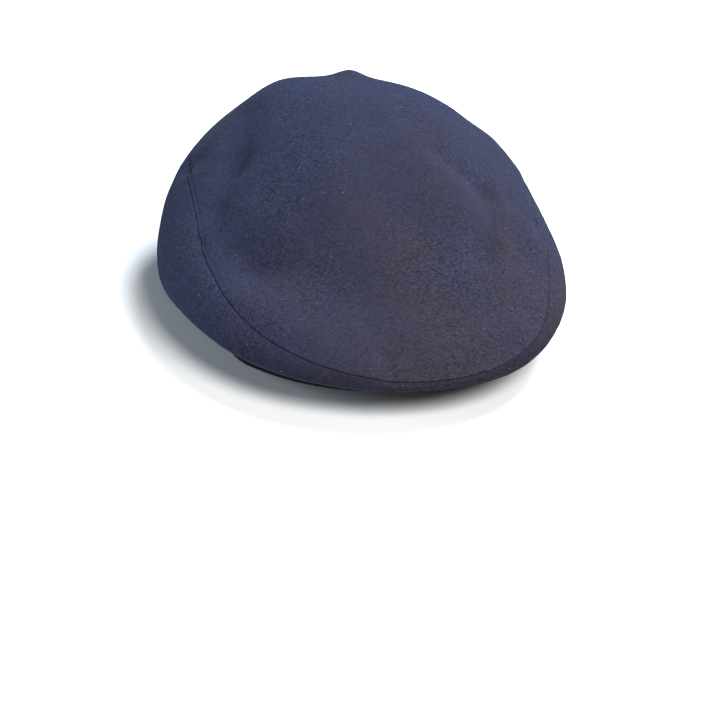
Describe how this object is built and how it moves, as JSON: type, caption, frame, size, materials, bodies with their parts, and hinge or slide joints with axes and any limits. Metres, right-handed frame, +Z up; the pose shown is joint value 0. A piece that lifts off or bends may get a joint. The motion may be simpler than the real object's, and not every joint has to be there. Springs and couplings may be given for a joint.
{
  "type": "flat cap",
  "caption": "Flat cap with a large soft top panel, side panels that turn under, a short stiff peak and an inner head band.",
  "frame": {"origin": "centre of the cap's outline, in the plane of the head band's lower rim, on which the cap stands", "axes": "+Z up out of the crown, +Y from the peak to the back, +X to the wearer's left"},
  "size_m": [0.232, 0.27, 0.113],
  "materials": {
    "cloth": "matt slub weave",
    "peak_cloth": "matt slub weave over a stiffener",
    "band": "matt plain weave"
  },
  "bodies": {
    "root": {"top_panel": "cloth", "side_panel_left": "cloth", "side_panel_right": "cloth", "peak": "peak_cloth", "head_band": "band"}
  },
  "joints": []
}
